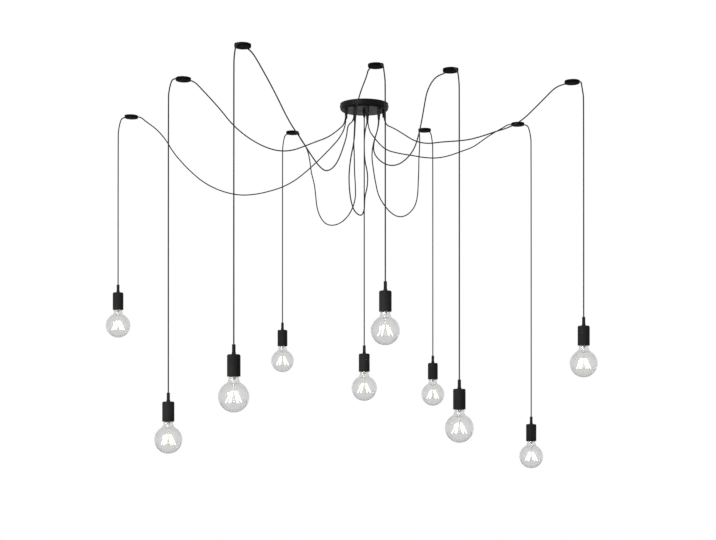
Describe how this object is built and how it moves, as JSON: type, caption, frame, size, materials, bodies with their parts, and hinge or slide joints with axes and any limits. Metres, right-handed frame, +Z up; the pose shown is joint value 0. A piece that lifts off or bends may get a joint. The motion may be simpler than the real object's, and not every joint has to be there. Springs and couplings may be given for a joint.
{
  "type": "cluster pendant",
  "caption": "Ceiling light with one round canopy, cords swagged to flat ceiling hooks and a bare globe bulb in a plain holder on each cord.",
  "frame": {"origin": "on the ceiling plane, at the axis of the canopy", "axes": "+Z up into the ceiling, +X to the right and +Y away from the viewer of the picture"},
  "size_m": [1.8046, 1.453, 1.384],
  "materials": {
    "black_enamel": "matte powder coat",
    "black_plastic": "matte moulded",
    "textile_cord": "braided textile sleeve",
    "zinc_steel": "zinc plated",
    "block_plastic": "moulded",
    "socket_plastic": "moulded",
    "clear_glass": "clear"
  },
  "bodies": {
    "fixed": {"ceiling_bracket": "zinc_steel", "canopy_cover": "black_enamel", "cover_screws": "black_enamel", "terminal_block": "block_plastic", "canopy_cord_grips": "black_plastic", "hook_bases": "black_plastic", "hook_caps": "black_enamel", "swag_cord_1": "textile_cord", "swag_cord_2": "textile_cord", "swag_cord_3": "textile_cord", "swag_cord_4": "textile_cord", "swag_cord_5": "textile_cord", "swag_cord_6": "textile_cord", "swag_cord_7": "textile_cord", "swag_cord_8": "textile_cord", "swag_cord_9": "textile_cord", "swag_cord_10": "textile_cord"},
    "pendant_1": {"drop_cord_1": "textile_cord", "holder_cover_1": "black_plastic", "socket_insert_1": "socket_plastic"},
    "lightbulb_1": {"bulb_1": "clear_glass"},
    "pendant_2": {"drop_cord_2": "textile_cord", "holder_cover_2": "black_plastic", "socket_insert_2": "socket_plastic"},
    "lightbulb_2": {"bulb_2": "clear_glass"},
    "pendant_3": {"drop_cord_3": "textile_cord", "holder_cover_3": "black_plastic", "socket_insert_3": "socket_plastic"},
    "lightbulb_3": {"bulb_3": "clear_glass"},
    "pendant_4": {"drop_cord_4": "textile_cord", "holder_cover_4": "black_plastic", "socket_insert_4": "socket_plastic"},
    "lightbulb_4": {"bulb_4": "clear_glass"},
    "pendant_5": {"drop_cord_5": "textile_cord", "holder_cover_5": "black_plastic", "socket_insert_5": "socket_plastic"},
    "lightbulb_5": {"bulb_5": "clear_glass"},
    "pendant_6": {"drop_cord_6": "textile_cord", "holder_cover_6": "black_plastic", "socket_insert_6": "socket_plastic"},
    "lightbulb_6": {"bulb_6": "clear_glass"},
    "pendant_7": {"drop_cord_7": "textile_cord", "holder_cover_7": "black_plastic", "socket_insert_7": "socket_plastic"},
    "lightbulb_7": {"bulb_7": "clear_glass"},
    "pendant_8": {"drop_cord_8": "textile_cord", "holder_cover_8": "black_plastic", "socket_insert_8": "socket_plastic"},
    "lightbulb_8": {"bulb_8": "clear_glass"},
    "pendant_9": {"drop_cord_9": "textile_cord", "holder_cover_9": "black_plastic", "socket_insert_9": "socket_plastic"},
    "lightbulb_9": {"bulb_9": "clear_glass"},
    "pendant_10": {"drop_cord_10": "textile_cord", "holder_cover_10": "black_plastic", "socket_insert_10": "socket_plastic"},
    "lightbulb_10": {"bulb_10": "clear_glass"}
  },
  "joints": [
    {"name": "swing_1", "type": "hinge", "parent": "fixed", "child": "pendant_1", "pos_m": [-0.9608, 0.20244, -0.07755], "axis": [0.2079, 0.9781, 0], "range_deg": [-10, 10]},
    {"name": "bulb_out_1", "type": "slide", "parent": "pendant_1", "child": "lightbulb_1", "axis": [0, 0, -1], "range_m": [0, 0.03]},
    {"name": "swing_2", "type": "hinge", "parent": "fixed", "child": "pendant_2", "pos_m": [-0.66723, -0.40818, -0.07755], "axis": [-0.4848, 0.8746, 0], "range_deg": [-10, 10]},
    {"name": "bulb_out_2", "type": "slide", "parent": "pendant_2", "child": "lightbulb_2", "axis": [0, 0, -1], "range_m": [0, 0.03]},
    {"name": "swing_3", "type": "hinge", "parent": "fixed", "child": "pendant_3", "pos_m": [-0.4004, -0.83503, -0.07755], "axis": [-0.9063, 0.4226, 0], "range_deg": [-10, 10]},
    {"name": "bulb_out_3", "type": "slide", "parent": "pendant_3", "child": "lightbulb_3", "axis": [0, 0, -1], "range_m": [0, 0.03]},
    {"name": "swing_4", "type": "hinge", "parent": "fixed", "child": "pendant_4", "pos_m": [-0.33877, 0.52305, -0.07755], "axis": [0.6561, 0.7547, 0], "range_deg": [-10, 10]},
    {"name": "bulb_out_4", "type": "slide", "parent": "pendant_4", "child": "lightbulb_4", "axis": [0, 0, -1], "range_m": [0, 0.03]},
    {"name": "swing_5", "type": "hinge", "parent": "fixed", "child": "pendant_5", "pos_m": [0, 0, -0.05855], "axis": [0, -1, 0], "range_deg": [-10, 10]},
    {"name": "bulb_out_5", "type": "slide", "parent": "pendant_5", "child": "lightbulb_5", "axis": [0, 0, -1], "range_m": [0, 0.03]},
    {"name": "swing_6", "type": "hinge", "parent": "fixed", "child": "pendant_6", "pos_m": [0.06521, -0.5933, -0.07755], "axis": [-0.7771, -0.6293, 0], "range_deg": [-10, 10]},
    {"name": "bulb_out_6", "type": "slide", "parent": "pendant_6", "child": "lightbulb_6", "axis": [0, 0, -1], "range_m": [0, 0.03]},
    {"name": "swing_7", "type": "hinge", "parent": "fixed", "child": "pendant_7", "pos_m": [0.28606, 0.47206, -0.07755], "axis": [0.7071, -0.7071, 0], "range_deg": [-10, 10]},
    {"name": "bulb_out_7", "type": "slide", "parent": "pendant_7", "child": "lightbulb_7", "axis": [0, 0, -1], "range_m": [0, 0.03]},
    {"name": "swing_8", "type": "hinge", "parent": "fixed", "child": "pendant_8", "pos_m": [0.30888, -0.5468, -0.07755], "axis": [-0.8829, -0.4695, 0], "range_deg": [-10, 10]},
    {"name": "bulb_out_8", "type": "slide", "parent": "pendant_8", "child": "lightbulb_8", "axis": [0, 0, -1], "range_m": [0, 0.03]},
    {"name": "swing_9", "type": "hinge", "parent": "fixed", "child": "pendant_9", "pos_m": [0.67231, 0.33176, -0.07755], "axis": [0.1564, -0.9877, 0], "range_deg": [-10, 10]},
    {"name": "bulb_out_9", "type": "slide", "parent": "pendant_9", "child": "lightbulb_9", "axis": [0, 0, -1], "range_m": [0, 0.03]},
    {"name": "swing_10", "type": "hinge", "parent": "fixed", "child": "pendant_10", "pos_m": [0.74881, -0.37665, -0.07755], "axis": [-0.6947, -0.7193, 0], "range_deg": [-10, 10]},
    {"name": "bulb_out_10", "type": "slide", "parent": "pendant_10", "child": "lightbulb_10", "axis": [0, 0, -1], "range_m": [0, 0.03]}
  ]
}
